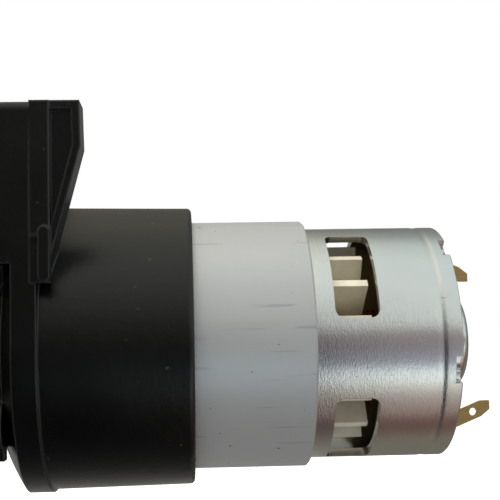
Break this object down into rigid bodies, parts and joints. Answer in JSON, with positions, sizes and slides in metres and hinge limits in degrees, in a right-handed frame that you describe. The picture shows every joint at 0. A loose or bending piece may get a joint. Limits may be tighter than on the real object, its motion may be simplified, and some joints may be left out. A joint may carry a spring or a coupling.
{
  "type": "electric motor with spur gearbox",
  "caption": "Brushed direct-current motor with a flux ring and cooling fan, seated in the collar of a black plastic spur gear case with a flatted output shaft.",
  "frame": {"origin": "centre of the four mounting holes, on the gear case's mounting face", "axes": "+X along the motor, from the output shaft's side to the brush end; +Z from the motor's axis to the output axis; the output shaft leaves along -X"},
  "size_m": [0.1334, 0.0766, 0.0712],
  "materials": {
    "case_plastic": "black moulded plastic, satin",
    "can_steel": "zinc-plated pressed steel, fine drawing lines",
    "ring_steel": "plated rolled steel, smooth satin grey",
    "plain_steel": "ground steel",
    "dark_steel": "oiled dark steel",
    "fan_nylon": "cream nylon",
    "gear_nylon": "natural white nylon",
    "card_phenolic": "brown phenolic",
    "brass": "bright brass",
    "bronze": "sintered bronze",
    "copper": "enamelled copper wire",
    "carbon": "pressed carbon graphite",
    "ferrite": "sintered ferrite",
    "insulator": "green moulded insulation"
  },
  "bodies": {
    "housing": {"motor_case": "case_plastic", "gear_cover": "case_plastic", "case_screws": "plain_steel", "motor_screws": "plain_steel", "motor_can": "can_steel", "flux_ring": "ring_steel", "magnets": "ferrite", "magnet_clips": "plain_steel", "rear_end_plate": "can_steel", "brush_card": "card_phenolic", "brush_boxes": "brass", "carbon_brushes": "carbon", "brush_springs": "plain_steel", "terminal_blades": "brass", "front_bearing_outer_ring": "plain_steel", "front_bearing_balls": "plain_steel", "rear_bearing_outer_ring": "plain_steel", "rear_bearing_balls": "plain_steel", "gear_pins": "plain_steel", "idler_spacer": "brass", "output_bush": "bronze"},
    "rotor": {"motor_shaft": "plain_steel", "rotor_core": "dark_steel", "core_insulators": "insulator", "windings": "copper", "commutator_base": "card_phenolic", "commutator_bars": "copper", "cooling_fan": "fan_nylon", "shaft_spacers": "card_phenolic", "motor_pinion": "plain_steel", "front_bearing_inner_ring": "plain_steel", "rear_bearing_inner_ring": "plain_steel"},
    "first_idler": {"first_idler_wheel": "gear_nylon", "first_idler_pinion": "dark_steel"},
    "second_idler": {"second_idler_wheel": "dark_steel", "second_idler_pinion": "dark_steel"},
    "output": {"output_shaft": "plain_steel", "output_gear": "dark_steel", "output_key": "plain_steel", "output_washer": "plain_steel", "retaining_clip": "dark_steel"}
  },
  "joints": [
    {"name": "rotor_spin", "type": "hinge", "parent": "housing", "child": "rotor", "pos_m": [0.06, 0, -0.014], "axis": [1, 0, 0], "continuous": true},
    {"name": "first_idler_spin", "type": "hinge", "parent": "housing", "child": "first_idler", "pos_m": [0.02, 0, 0.0085], "axis": [1, 0, 0], "continuous": true},
    {"name": "second_idler_spin", "type": "hinge", "parent": "housing", "child": "second_idler", "pos_m": [0.012, 0.02, -0.0018], "axis": [1, 0, 0], "continuous": true},
    {"name": "output_spin", "type": "hinge", "parent": "housing", "child": "output", "pos_m": [0, 0, 0.0085], "axis": [1, 0, 0], "continuous": true}
  ],
  "couplings": [
    {"joint": "first_idler_spin", "follows": "rotor_spin", "ratio": -0.25},
    {"joint": "second_idler_spin", "follows": "rotor_spin", "ratio": 0.078947},
    {"joint": "output_spin", "follows": "rotor_spin", "ratio": -0.025542}
  ]
}
